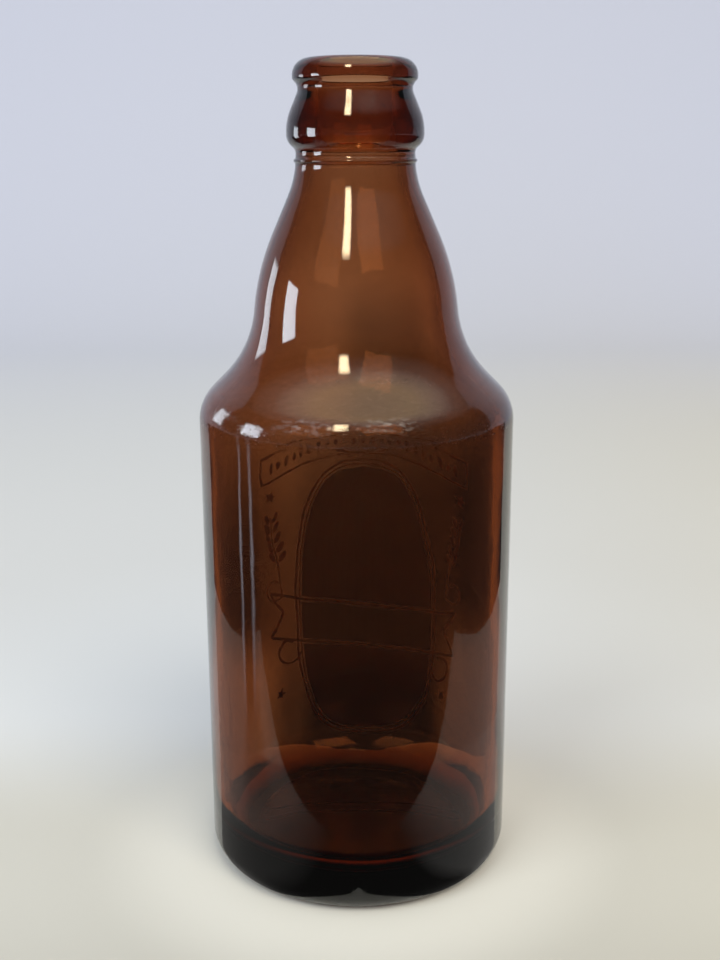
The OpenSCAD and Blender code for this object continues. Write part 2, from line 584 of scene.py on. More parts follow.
@dataclass(frozen=True)
class Veil:
    """The bottle's own shade: it dims what shows through the body, and fades at the shoulder.

    Each corner, by its ends across and up, lets a share of the light back in.
    """

    levels: tuple[Point, ...] = (
        (-34.0, 0.08), (-24.0, 0.22), (-19.0, 0.22), (-12.0, 0.025), (60.0, 0.025))
    half: float = 80.0
    fade_x: Point = (60.0, 78.0)
    fade_z: Point = (66.0, 130.0)
    slant: float = 0.25
    corners: tuple[tuple[Point, Point, float], ...] = (
        ((-31.0, -20.0), (22.0, 44.0), 0.9), ((34.0, 18.0), (26.0, 50.0), 0.32))
    patch: float = 0.42
    patch_x: float = 10.0
    patch_reach: Point = (6.0, 19.0)
    patch_z: Point = (118.0, 138.0)
    neck: float = 0.24
    neck_z: Point = (128.0, 146.0)

    def material(self, name: str) -> Material:
        """Makes the shade.

        Args:
            name: the material's name.

        Returns:
            The material.
        """
        nodes = Nodes(name)
        x, _, z = nodes.axes()
        across = nodes.math("MULTIPLY_ADD", x, 0.5 / (self.half * MM), 0.5)
        level = nodes.ramp(across, [(0.5 + 0.5 * place / self.half, dim) for place, dim in self.levels])
        wide = nodes.between(nodes.math("ABSOLUTE", x), self.fade_x, 0.0, 1.0)
        high = nodes.between(nodes.math("MULTIPLY_ADD", x, -self.slant, z), self.fade_z, 0.0, 1.0)
        clear = nodes.math("MAXIMUM", wide, high)
        for ends_x, ends_z, share in self.corners:
            corner = nodes.math("MULTIPLY", nodes.between(x, ends_x, 1.0, 0.0),
                                nodes.between(z, ends_z, 1.0, 0.0))
            clear = nodes.math("MAXIMUM", clear, nodes.math("MULTIPLY", corner, share))
        shade = nodes.math("MULTIPLY_ADD", clear, nodes.math("SUBTRACT", 1.0, level), level)
        shade = nodes.math("MULTIPLY", shade, nodes.between(z, self.neck_z, 1.0, 1.0 - self.neck))
        away = nodes.math("ABSOLUTE", nodes.math("SUBTRACT", x, self.patch_x * MM))
        patch = nodes.math("MULTIPLY", nodes.between(away, self.patch_reach, self.patch, 0.0),
                           nodes.between(z, self.patch_z, 1.0, 0.0))
        gel = nodes.add("BsdfTransparent")
        nodes.link(nodes.math("MULTIPLY", shade, nodes.math("SUBTRACT", 1.0, patch)),
                   gel.inputs["Color"])
        return nodes.surface(gel)


# ---------------------------------------------------------------------------------------------
# The glass


@dataclass(frozen=True)
class Bend:
    """One arc of an outline. A heading is degrees from straight up, positive outwards."""

    centre: Point
    radius: float
    first: float
    last: float

    def at(self, heading: float) -> Point:
        """Finds the arc's point at a heading. A hollow bend has a negative radius.

        Args:
            heading: degrees from straight up, positive outwards.

        Returns:
            The point.
        """
        turn = math.radians(heading)
        return (self.centre[0] + self.radius * math.cos(turn),
                self.centre[1] - self.radius * math.sin(turn))

    def points(self, step_mm: float) -> list[Point]:
        """Points along the arc.

        Args:
            step_mm: the longest step between points.

        Returns:
            The points, first to last.
        """
        length = abs(self.radius * math.radians(self.last - self.first))
        count = max(6, math.ceil(length / step_mm))
        return [self.at(self.first + (self.last - self.first) * i / count) for i in range(count + 1)]

    def inset(self, depth: float) -> "Bend":
        """The same bend moved in from the surface by a depth."""
        radius = self.radius - depth
        return Bend(self.centre, max(radius, 0.2) if self.radius > 0 else radius, self.first, self.last)


@dataclass
class Outline:
    """The bottle's turned outline: outside from the base to the lip, and inside back to the floor."""

    height: float = 180.0
    body_d: float = 69.6
    wall: float = 3.5
    base_t: float = 6.0
    heel_r: float = 5.7
    floor_r: float = 9.0
    ring_w: float = 4.0
    punt_h: float = 3.5
    shoulder_slope: float = 44.8
    shoulder_r: float = 9.7
    sweep_r: float = 23.5
    waist_d: float = 44.4
    waist_slope: float = 5.8
    neck_slope: float = 23.7
    swell_r: float = 53.0
    neck_r: float = 20.5
    ridge_drop: float = 1.6
    ridge_r: float = 0.45
    lip_d: float = 26.4
    lip_top_r: float = 3.4
    lip_under_r: float = 0.8
    lip_overhang: float = 1.1
    groove_r: float = 2.1
    collar_out: float = 1.4
    collar_drop: float = 14.8
    collar_crown_r: float = 11.5
    collar_under_r: float = 3.2
    undercut_r: float = 1.4
    neck_in: float = 1.9
    bore_d: float = 16.0
    mouth_r: float = 1.4
    throat_r: float = 6.0
    band: float = 0.5
    step: float = 1.1
    straight_step: float = 2.4

    def __post_init__(self) -> None:
        """Works out the heights of the turned features, down from the lip."""
        self.body_rad = self.body_d / 2
        self.lip_rad = self.lip_d / 2
        self.bore_rad = self.bore_d / 2
        self.collar_rad = self.lip_rad + self.collar_out
        self.neck_rad = self.collar_rad - self.neck_in
        self.punt_rad = self.body_rad - self.heel_r - self.ring_w
        self.dome_r = (self.punt_rad ** 2 + self.punt_h ** 2) / (2 * self.punt_h)
        self.lip_turn = self._turn(self.lip_overhang, self.groove_r + self.lip_under_r)
        self.under_turn = self._turn(self.neck_in, self.undercut_r + self.collar_under_r)
        self.lip_z = self.height - self.lip_top_r
        self.groove_z = (self.lip_z - self.band
                         - (self.groove_r + self.lip_under_r) * self._sin(self.lip_turn))
        self.collar_z = self.height - self.collar_drop
        self.neck_z = (self.collar_z - self.band
                       - (self.undercut_r + self.collar_under_r) * self._sin(self.under_turn))
        self.waist_z = self.neck_z - self.band - self._fall(
            self.waist_d / 2 - self.neck_rad, self.neck_slope, self.neck_r, self.swell_r)
        self.shoulder_z = self.waist_z - self._fall(
            self.body_rad - self.waist_d / 2, self.shoulder_slope, self.shoulder_r, self.sweep_r)

    def _fall(self, width: float, slope: float, upright_r: float, waist_r: float) -> float:
        """The height of a slope and the bends at its ends, one of which meets the waist.

        Args:
            width: how far the stretch reaches sideways.
            slope: the straight part's heading, in degrees.
            upright_r: the radius of the bend that ends upright.
            waist_r: the radius of the bend that ends at the waist's own slope.

        Returns:
            The height.
        """
        lean = self.waist_slope
        bends = (upright_r * (1 - self._cos(slope))
                 + waist_r * (self._cos(lean) - self._cos(slope)))
        run = (width - bends) / self._sin(slope)
        return (run * self._cos(slope) + upright_r * self._sin(slope)
                + waist_r * (self._sin(slope) - self._sin(lean)))

    @staticmethod
    def _sin(degrees: float) -> float:
        """The sine of an angle in degrees."""
        return math.sin(math.radians(degrees))

    @staticmethod
    def _cos(degrees: float) -> float:
        """The cosine of an angle in degrees."""
        return math.cos(math.radians(degrees))

    @staticmethod
    def _turn(step: float, radii: float) -> float:
        """The heading, in degrees, where two bends of an S meet after stepping sideways."""
        return math.degrees(math.acos(1 - step / radii))

    def _wall_bends(self) -> list[Bend]:
        """Lays out the wall's bends.

        Returns:
            Shoulder, sweep, swell and neck, going up the outside.
        """
        waist = (self.waist_d / 2, self.waist_z)
        out, up = self._cos(self.waist_slope), self._sin(self.waist_slope)
        return [
            Bend((self.body_rad - self.shoulder_r, self.shoulder_z), self.shoulder_r, 0,
                 -self.shoulder_slope),
            Bend((waist[0] + self.sweep_r * out, waist[1] + self.sweep_r * up), -self.sweep_r,
                 -self.shoulder_slope, -self.waist_slope),
            Bend((waist[0] - self.swell_r * out, waist[1] - self.swell_r * up), self.swell_r,
                 -self.waist_slope, -self.neck_slope),
            Bend((self.neck_rad + self.neck_r, self.neck_z - self.band), -self.neck_r,
                 -self.neck_slope, 0)]

    def _finish_bends(self) -> list[Bend]:
        """Lays out the bends of the finish, where the cap grips.

        Returns:
            Undercut, collar, groove and lip, going up the outside.
        """
        crown = (self.collar_rad - self.collar_crown_r, self.collar_z)
        groove = (self.lip_rad - self.lip_overhang + self.groove_r, self.groove_z)
        across, up = groove[0] - crown[0], groove[1] - crown[1]
        lean = math.degrees(math.atan2(across, up)
                            - math.asin((self.collar_crown_r + self.groove_r) / math.hypot(across, up)))
        return [
            Bend((self.neck_rad + self.undercut_r, self.neck_z), -self.undercut_r, 0, self.under_turn),
            Bend((self.collar_rad - self.collar_under_r, self.collar_z - self.band),
                 self.collar_under_r, self.under_turn, 0),
            Bend(crown, self.collar_crown_r, 0, lean),
            Bend(groove, -self.groove_r, lean, self.lip_turn),
            Bend((self.lip_rad - self.lip_under_r, self.lip_z - self.band), self.lip_under_r,
                 self.lip_turn, 0),
            Bend((self.lip_rad - self.lip_top_r, self.lip_z), self.lip_top_r, 0, -90)]

    def outside(self) -> list[Point]:
        """Runs up the outside.

        Returns:
            Its points, from the axis under the base to the top of the lip.
        """
        spread = math.degrees(math.asin(self.punt_rad / self.dome_r))
        punt = Bend((0.0, self.punt_h - self.dome_r), self.dome_r, -90, -90 + spread)
        heel = Bend((self.body_rad - self.heel_r, self.heel_r), self.heel_r, 90, 0)
        lists = [punt.points(self.step), heel.points(self.step / 2)]
        lists += [b.points(self.step) for b in self._wall_bends()]
        lists += [b.points(self.step / 3) for b in self._finish_bends()]
        return self._with_ridge(self._joined(lists))

    def inside(self) -> list[Point]:
        """Runs down the inside.

        Returns:
            Its points, from the mouth down to the axis on the floor.
        """
        floor_rad = self.body_rad - self.wall - self.floor_r
        floor_dome_r = self.dome_r + self.base_t
        spread = math.degrees(math.asin(floor_rad / floor_dome_r))
        floor = Bend((0.0, self.punt_h - self.dome_r), floor_dome_r, -90, -90 + spread)
        corner = Bend((floor_rad, floor.at(floor.last)[1] + self.floor_r), self.floor_r, 90, 0)
        step = self.neck_rad - self.wall - self.bore_rad
        turn = self._turn(step, 2 * self.throat_r)
        throat_z = self.collar_z - self.throat_r * self._sin(turn)
        throat = [
            Bend((self.neck_rad - self.wall - self.throat_r, throat_z), self.throat_r, 0, -turn),
            Bend((self.bore_rad + self.throat_r, throat_z + 2 * self.throat_r * self._sin(turn)),
                 -self.throat_r, -turn, 0)]
        mouth = Bend((self.bore_rad + self.mouth_r, self.height - self.mouth_r), -self.mouth_r, 0, 90)
        lists = [floor.points(self.step), corner.points(self.step)]
        lists += [b.inset(self.wall).points(self.step) for b in self._wall_bends()]
        lists += [b.points(self.step) for b in throat] + [mouth.points(self.step / 3)]
        return self._joined(lists)[::-1]

    def _joined(self, lists: list[list[Point]]) -> list[Point]:
        """Joins stretches, and splits the straights between them so that ripples can shape them.

        Args:
            lists: the points of each stretch, in order.

        Returns:
            One list of points.
        """
        points: list[Point] = []
        for stretch in lists:
            if points:
                gap = math.dist(points[-1], stretch[0])
                if gap < 1e-4:
                    stretch = stretch[1:]
                else:
                    count = math.ceil(gap / self.straight_step)
                    (r, z), (next_r, next_z) = points[-1], stretch[0]
                    points += [(r + (next_r - r) * i / count, z + (next_z - z) * i / count)
                               for i in range(1, count)]
            points += stretch
        return points

    def _with_ridge(self, points: list[Point]) -> list[Point]:
        """Lets the half-round parting ridge in below the collar.

        Args:
            points: the outside without it.

        Returns:
            The outside with it.
        """
        middle = (self.neck_rad, self.neck_z - self.ridge_drop)
        clear = [p for p in points if math.dist(p, middle) > self.ridge_r * 1.15]
        after = next(i for i, p in enumerate(clear) if p[1] > middle[1] and p[0] < self.collar_rad
                     and p[1] > self.waist_z)
        ridge = Bend(middle, self.ridge_r, 70, -75)
        return clear[:after] + ridge.points(self.ridge_r / 4) + clear[after:]


@dataclass
class Bottle:
    """The one piece of glass: a turned wall with ripples on its inner face."""

    outline: Outline = field(default_factory=Outline)
    glass: AmberGlass = field(default_factory=AmberGlass)
    around: int = 176
    inner_ripple: float = 0.22
    outer_ripple: float = 0.035
    wave_size: float = 16.0
    fine_size: float = 6.0
    fine_share: float = 0.25
    fade_top: Point = (4.0, 12.0)
    fade_foot: Point = (6.0, 8.0)
    floor_top: float = 30.0
    bearing_top: float = 4.5

    def build(self) -> Object:
        """Spins the outline and ripples it.

        Returns:
            The glass.
        """
        bm = bmesh.new()
        points = self.outline.outside() + self.outline.inside()
        verts = [bm.verts.new((r * MM, 0.0, z * MM)) for r, z in points]
        edges = [bm.edges.new(pair) for pair in zip(verts, verts[1:])]
        bmesh.ops.spin(bm, geom=verts + edges, axis=(0, 0, 1), cent=(0, 0, 0), dvec=(0, 0, 0),
                       angle=math.tau, steps=self.around, use_merge=True, use_normal_flip=False,
                       use_duplicate=False)
        bmesh.ops.remove_doubles(bm, verts=bm.verts[:], dist=1e-6)
        bmesh.ops.recalc_face_normals(bm, faces=bm.faces[:])
        self._ripple(bm)
        return finish_mesh("bottle_glass", bm)

    def _ripple(self, bm: Mesh) -> None:
        """Moves the walls in and out by soft noise: more inside, where no mould touched the glass.

        Args:
            bm: the turned glass.
        """
        top = self.outline.neck_z - self.fade_top[0]
        bm.normal_update()
        moves = []
        for vert in bm.verts:
            (x, y, height), z = vert.co, vert.co.z / MM
            inner = vert.normal.x * x + vert.normal.y * y < 0 or (
                vert.normal.z > 0.6 and z < self.floor_top)
            fade = (min(1.0, max(0.0, (top - z) / self.fade_top[1]))
                    * min(1.0, max(0.0, (z - self.fade_foot[0]) / self.fade_foot[1])))
            if inner and z < self.floor_top:
                fade = 1.0 if z > self.bearing_top else 0.0
            wave = noise.noise(Vector((x, y, height * 0.55)) / (self.wave_size * MM))
            fine = noise.noise(Vector((x, y, height * 0.7)) / (self.fine_size * MM) + Vector((7, 3, 1)))
            size = self.inner_ripple if inner else self.outer_ripple
            depth = (wave + self.fine_share * fine) * size * fade * MM
            moves.append((vert, vert.normal.copy() * depth))
        for vert, move in moves:
            vert.co += move

    def make(self) -> None:
        """Builds and dresses the glass, which stands for the CAD solid."""
        piece = self.build()
        dress(piece, self.glass.material(self.outline), "amber_glass")
        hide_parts(NODE)


# ---------------------------------------------------------------------------------------------
# The fired decoration


@dataclass
class Decoration:
    """Enamel shapes on the back of the body: an oval, a sash, two scrolls and barley ears.

    A shape is first made flat, with its X along the wall from the middle of the oval and its Y up the
    wall, and is then wrapped round the glass.
    """

    outline: Outline
    cream: Enamel = Enamel("enamel_cream", (0.70, 0.60, 0.40), (0.48, 0.37, 0.22))
    oxblood: Enamel = Enamel("enamel_oxblood", (0.17, 0.026, 0.018), (0.085, 0.013, 0.01))
    sepia: Enamel = Enamel("enamel_sepia", (0.050, 0.022, 0.014), (0.028, 0.012, 0.008))
    thickness: float = 0.07
    sunk: float = 0.07
    turn: float = 3.2
    oval_w: float = 42.0
    oval_h: float = 76.0
    oval_z: float = 48.5
    oval_power: float = 2.5
    line_w: float = 0.7
    thin_w: float = 0.4
    sash_z: float = 42.0
    sash_h: float = 11.2
    sash_w: float = 58.0
    foot_z: float = 21.5
    foot_w: float = 27.0
    rosette_z: float = 66.0
    petals: int = 8
    petal: Point = (2.5, 5.6)
    petal_reach: float = 4.6
    lozenge_step: float = 5.4
    dot_step: float = 2.9
    scroll_z: float = 91.0
    scroll_half: float = 30.0
    scroll_h: float = 6.2
    seed_step: float = 2.55
    ear_x: float = 26.6
    ear_z: float = 63.0
    grain: Point = (1.25, 3.1)
    rim: float = 2.1
    bare: float = 0.75
    facet: float = 3.0

    def _oval_ring(self, bm: Mesh, shrink: float, width: float, segments: int = 112) -> None:
        """Adds an oval line.

        Args:
            bm: the flat drawing.
            shrink: how far the line lies inside the oval's edge.
            width: the line's width.
            segments: how many sides it has.
        """
        made = bmesh.ops.create_circle(bm, cap_ends=True, segments=segments, radius=1.0)
        half_w, half_h = self.oval_w / 2 - shrink, self.oval_h / 2 - shrink
        for vert in made["verts"]:
            x, y = vert.co.x, vert.co.y
            vert.co.x = half_w * math.copysign(abs(x) ** (2 / self.oval_power), x)
            vert.co.y = half_h * math.copysign(abs(y) ** (2 / self.oval_power), y) + self.oval_z
        face = made["verts"][0].link_faces[0]
        bmesh.ops.inset_region(bm, faces=[face], thickness=width, use_even_offset=True,
                               use_boundary=True)
        bmesh.ops.delete(bm, geom=[face], context="FACES_ONLY")

    def _strip(self, bm: Mesh, length: float, middle: Path, width: float, steps: int = 48,
               taper: float = 0.0) -> None:
        """Adds a ribbon along a path.

        Args:
            bm: the flat drawing.
            length: how far the path's parameter runs, from minus half of it to plus half.
            middle: the path's point at a parameter.
            width: the ribbon's width at the path's middle.
            steps: how many pieces it has.
            taper: how much the width grows with the parameter.
        """
        made = bmesh.ops.create_grid(bm, x_segments=steps, y_segments=1, size=0.5)
        for vert in made["verts"]:
            t, side = vert.co.x * length, vert.co.y * 2
            ahead, behind = middle(t + 0.05), middle(t - 0.05)
            along = Vector((ahead[0] - behind[0], ahead[1] - behind[1], 0.0)).normalized()
            x, y = middle(t)
            half = side * (width + taper * t) / 2
            vert.co = Vector((x - along.y * half, y + along.x * half, 0.0))

    @staticmethod
    def _put(bm: Mesh, verts: list[bmesh.types.BMVert], centre: Point, lean: float) -> None:
        """Turns a small shape and moves it to its place.

        Args:
            bm: the flat drawing.
            verts: the shape's points.
            centre: where its middle goes.
            lean: how far it is turned, in degrees.
        """
        spin = Matrix.Rotation(math.radians(lean), 3, "Z")
        bmesh.ops.rotate(bm, verts=verts, cent=(0, 0, 0), matrix=spin)
        bmesh.ops.translate(bm, verts=verts, vec=(*centre, 0.0))

    def _blob(self, bm: Mesh, centre: Point, size: Point, lean: float = 0.0,
              segments: int = 14) -> None:
        """Adds a small filled oval, or a lozenge if it has four sides.

        Args:
            bm: the flat drawing.
            centre: its middle.
            size: its width and height.
            lean: how far it is turned, in degrees.
            segments: how many sides it has.
        """
        made = bmesh.ops.create_circle(bm, cap_ends=True, segments=segments, radius=0.5)
        bmesh.ops.scale(bm, verts=made["verts"], vec=(*size, 1.0))
        self._put(bm, made["verts"], centre, lean)

    def _star(self, bm: Mesh, centre: Point, radius: float) -> None:
        """Adds a five-pointed star.

        Args:
            bm: the flat drawing.
            centre: its middle.
            radius: out to its points.
        """
        made = bmesh.ops.create_circle(bm, cap_ends=True, segments=10, radius=radius)
        ordered = sorted(made["verts"], key=lambda v: math.atan2(v.co.y, v.co.x))
        for vert in ordered[1::2]:
            vert.co *= 0.42
        self._put(bm, made["verts"], centre, 18.0)

    def _wrap(self, name: str, bm: Mesh, enamel: Material, layer: int = 0) -> None:
        """Wraps a flat drawing round the back of the glass and gives it thickness.

        Args:
            name: the piece's name.
            bm: the flat drawing, in millimetres.
            enamel: its material.
            layer: how many firings lie under it.
        """
        bmesh.ops.triangulate(bm, faces=[f for f in bm.faces if len(f.verts) > 4])
        for _ in range(3):
            wide = [e for e in bm.edges if abs(e.verts[0].co.x - e.verts[1].co.x) > self.facet]
            bmesh.ops.subdivide_edges(bm, edges=wide, cuts=1, use_grid_fill=True)
        bmesh.ops.triangulate(bm, faces=[f for f in bm.faces if len(f.verts) > 4])
        bmesh.ops.recalc_face_normals(bm, faces=bm.faces[:])
        top = bmesh.ops.extrude_face_region(bm, geom=bm.faces[:])
        raised = {v for v in top["geom"] if isinstance(v, bmesh.types.BMVert)}
        for vert in bm.verts:
            proud = self.thickness * layer + (self.thickness if vert in raised else -self.sunk)
            radius = (self.outline.body_rad + proud) * MM
            angle = vert.co.x / self.outline.body_rad + math.radians(self.turn)
            vert.co = Vector((radius * math.sin(angle), radius * math.cos(angle), vert.co.y * MM))
        bmesh.ops.remove_doubles(bm, verts=bm.verts[:], dist=1e-7)
        bmesh.ops.recalc_face_normals(bm, faces=bm.faces[:])
        dress(finish_mesh(name, bm, smooth=False), enamel, "enamel")

    def _oval_half(self, z: float, shrink: float) -> float:
        """Half the width, at a height, of an oval that lies inside the outline by shrink."""
        share = min(1.0, abs(z - self.oval_z) / (self.oval_h / 2 - shrink))
        return (self.oval_w / 2 - shrink) * (1 - share ** self.oval_power) ** (1 / self.oval_power)

    def _sash_middle(self, t: float) -> Point:
        """The sash's middle line, a slow wave that climbs at one end."""
        share = t / (self.sash_w / 2)
        return (t, self.sash_z + 4.0 * share ** 2 - 2.2 * share)

    def _scroll(self, t: float) -> Point:
        """The middle of the arched scroll over the oval."""
        share = t / self.scroll_half
        return (t, self.scroll_z - 8.0 * share ** 2 + 2.6 * share ** 4)

    def _field(self, name: str, enamel: Material, ends: Point, follow: Point) -> None:
        """One coloured field that fills the oval between two heights.

        Args:
            name: the piece's name.
            enamel: its material.
            ends: its lowest and highest points up the middle.
            follow: how far its foot and its top follow the sash's wave, from 0 to 1.
        """
        bm = bmesh.new()
        made = bmesh.ops.create_grid(bm, x_segments=18, y_segments=30, size=0.5)
        for vert in made["verts"]:
            across, rise = vert.co.x * 2, vert.co.y + 0.5
            z = ends[0] + (ends[1] - ends[0]) * rise
            for _ in range(3):
                half = self._oval_half(z, self.rim)
                wave = self._sash_middle(across * half)[1] - self.sash_z
                share = follow[0] * (1 - rise) ** 2 + follow[1] * rise ** 2
                share = 1.0 if follow == (1.0, 1.0) else share
                z = ends[0] + (ends[1] - ends[0]) * rise + wave * share
            vert.co = Vector((across * half, z, 0.0))
        bmesh.ops.dissolve_degenerate(bm, edges=bm.edges[:], dist=1e-3)
        self._wrap(name, bm, enamel)

    def fields(self, oxblood: Material, sepia: Material) -> None:
        """Makes the coloured fields inside the oval, above, behind and below the sash.

        Args:
            oxblood: the material above and below.
            sepia: the material behind.
        """
        half = self.sash_h / 2
        reach = self.oval_h / 2 - self.rim
        over, under = self.sash_z + half, self.sash_z - half
        self._field("print_field_top", oxblood, (over + self.bare, self.oval_z + reach), (1.0, 0.0))
        self._field("print_field_sash", sepia, (under + self.bare, over - self.bare), (1.0, 1.0))
        self._field("print_field_foot", oxblood, (self.oval_z - reach, under - self.bare), (0.0, 1.0))

    def oval(self) -> Mesh:
        """Draws the double outline of the oval.

        Returns:
            The flat drawing.
        """
        bm = bmesh.new()
        self._oval_ring(bm, 0.0, self.line_w)
        self._oval_ring(bm, 1.3, self.thin_w)
        return bm

    def sash(self) -> Mesh:
        """Draws the sash across the oval: two long edges, forked ends and folded tails.

        Returns:
            The flat drawing.
        """
        bm = bmesh.new()
        half = self.sash_h / 2
        for side in (-1, 1):
            def edge(t: float) -> Point:
                """One long edge of the sash."""
                along, rise = self._sash_middle(t)
                return (along, rise + side * half)

            def fork(t: float) -> Point:
                """One slanting edge of a forked end."""
                share = t + 0.5
                return (x - side * 4.0 * share, z + up * half * (1 - share))

            def curl(t: float) -> Point:
                """Follows the folded tail that hangs behind a forked end.

                Args:
                    t: how far along the tail, from -1 to 1.

                Returns:
                    The point of its middle line.
                """
                turn = t * 2.6 + 0.4
                reach = 3.4 + 1.1 * t
                return (x + side * (reach * math.cos(turn) - 5.5),
                        z - half - 4.6 - reach * math.sin(turn))

            self._strip(bm, self.sash_w, edge, self.line_w)
            x, z = self._sash_middle(side * self.sash_w / 2)
            for up in (-1, 1):
                self._strip(bm, 1.0, fork, self.line_w, 6)
            self._strip(bm, 2.0, curl, 1.1 * self.line_w, 26, -0.3 * self.line_w)
        return bm

    def lozenges(self) -> Mesh:
        """Draws a rosette, rows of lozenges and two arched lines, fired over the coloured fields.

        Returns:
            The flat drawing.
        """
        bm = bmesh.new()
        for i in range(-3, 4):
            centre = self._sash_middle(i * self.lozenge_step)
            self._blob(bm, centre, (2.8, 3.6 if i % 2 else 6.0), -4.0 + 4.0 * i, 4)
        for offset, width in ((0.0, 1.0), (2.4, self.thin_w)):
            def foot(t: float) -> Point:
                """A shallow arch inside the oval's foot."""
                return (t, self.foot_z + offset - 2.6 * (t / 16.0) ** 2)

            self._strip(bm, self.foot_w, foot, width, 32)
        for row, count in ((30.6, 4), (27.0, 5)):
            for i in range(-count, count + 1):
                x = i * self.dot_step
                self._blob(bm, (x, row - 0.008 * x ** 2), (1.5, 1.9), 0.0, 4)
        for i in range(self.petals):
            lean = 360.0 / self.petals * i
            x = -self.petal_reach * math.sin(math.radians(lean))
            z = self.petal_reach * math.cos(math.radians(lean))
            self._blob(bm, (x, self.rosette_z + z), self.petal, lean, 16)
        self._blob(bm, (0.0, self.rosette_z), (2.2, 2.2), 0.0, 16)
        return bm

    def scrolls(self) -> Mesh:
        """Draws the arched scroll over the oval, with a row of seeds.

        Returns:
            The flat drawing.
        """
        bm = bmesh.new()
        half, width = self.scroll_h / 2, self.thin_w * 1.3
        for side in (-1, 1):
            def arch(t: float) -> Point:
                """One long edge of the scroll."""
                x, z = self._scroll(t)
                return (x, z + side * half)

            self._strip(bm, 2 * (self.scroll_half + 1.0), arch, width, 60)
        for i in range(-11, 12):
            x, z = self._scroll(i * self.seed_step)
            size = (self.grain[0], self.grain[1] if i % 2 else 2.2)
            self._blob(bm, (x, z), size, 14.0 * x / self.scroll_half, 8)
        for side in (-1, 1):
            x, z = self._scroll(side * (self.scroll_half + 1.0))
            self._strip(bm, 7.0, lambda t: (x, z + t), width, 6)
        return bm

    def ears(self) -> Mesh:
        """Draws a barley ear, a tendril and two stars at each side of the oval.

        Returns:
            The flat drawing.
        """
        bm = bmesh.new()
        for side in (-1, 1):
            def stalk(t: float) -> Point:
                """The stalk, which leans away as it rises."""
                return (side * (self.ear_x + 1.6 * math.sin(t / 9.0)), self.ear_z + t)

            def tendril(t: float) -> Point:
                """Follows a tendril that curls back under the ear.

                Args:
                    t: how far along the tendril, from -2.5 to 2.5.

                Returns:
                    The point of its middle line.
                """
                reach = 2.6 - 0.32 * t
                return (side * (self.ear_x + 1.0 + reach * math.cos(t)),
                        self.ear_z - 8.4 + reach * math.sin(t))

            self._strip(bm, 20.0, stalk, self.thin_w, 20)
            for i in range(5):
                x, z = stalk(-1.0 + 2.5 * i)
                for lean in (-1, 1):
                    self._blob(bm, (x + lean * 1.35, z + 0.7), self.grain, -lean * 26.0, 10)
            self._strip(bm, 5.0, tendril, self.thin_w, 26)
            self._star(bm, (side * 28.6, 78.5), 1.9)
            self._star(bm, (side * 25.5, 26.0), 1.6)
        return bm

    def make(self) -> None:
        """Builds and dresses every shape of the decoration."""
        cream = self.cream.material()
        self.fields(self.oxblood.material(), self.sepia.material())
        for name, draw, layer in (("print_oval", self.oval, 0), ("print_sash", self.sash, 0),
                                  ("print_lozenges", self.lozenges, 1),
                                  ("print_scrolls", self.scrolls, 0), ("print_ears", self.ears, 0)):
            self._wrap(name, draw(), cream, layer)


# ---------------------------------------------------------------------------------------------
# Studio and camera


@dataclass
class Card:
    """A flat studio card, in metres, that only some rays can see."""

    name: str
    centre: Place
    faces: Place
    width: float
    height: float
    seen_by: tuple[Rays, ...] = (Rays.GLOSSY,)
    cut: Cut | None = None

    def make(self, material: Material) -> None:
        """Sets the card up.

        Args:
            material: the card's face.
        """
        bm = bmesh.new()
        bm.loops.layers.uv.new("face")
        bmesh.ops.create_grid(bm, x_segments=1, y_segments=1, size=0.5, calc_uvs=True)
        bmesh.ops.scale(bm, verts=bm.verts[:], vec=(self.width, self.height, 1.0))
        turn = Vector(self.faces).to_track_quat("Z", "Y").to_matrix().to_4x4()
        bmesh.ops.transform(bm, verts=bm.verts[:], matrix=Matrix.Translation(self.centre) @ turn)
        if self.cut is not None:
            keep_inside(bm, self.cut)
        light_up(finish_mesh(self.name, bm, smooth=False), material, self.seen_by)


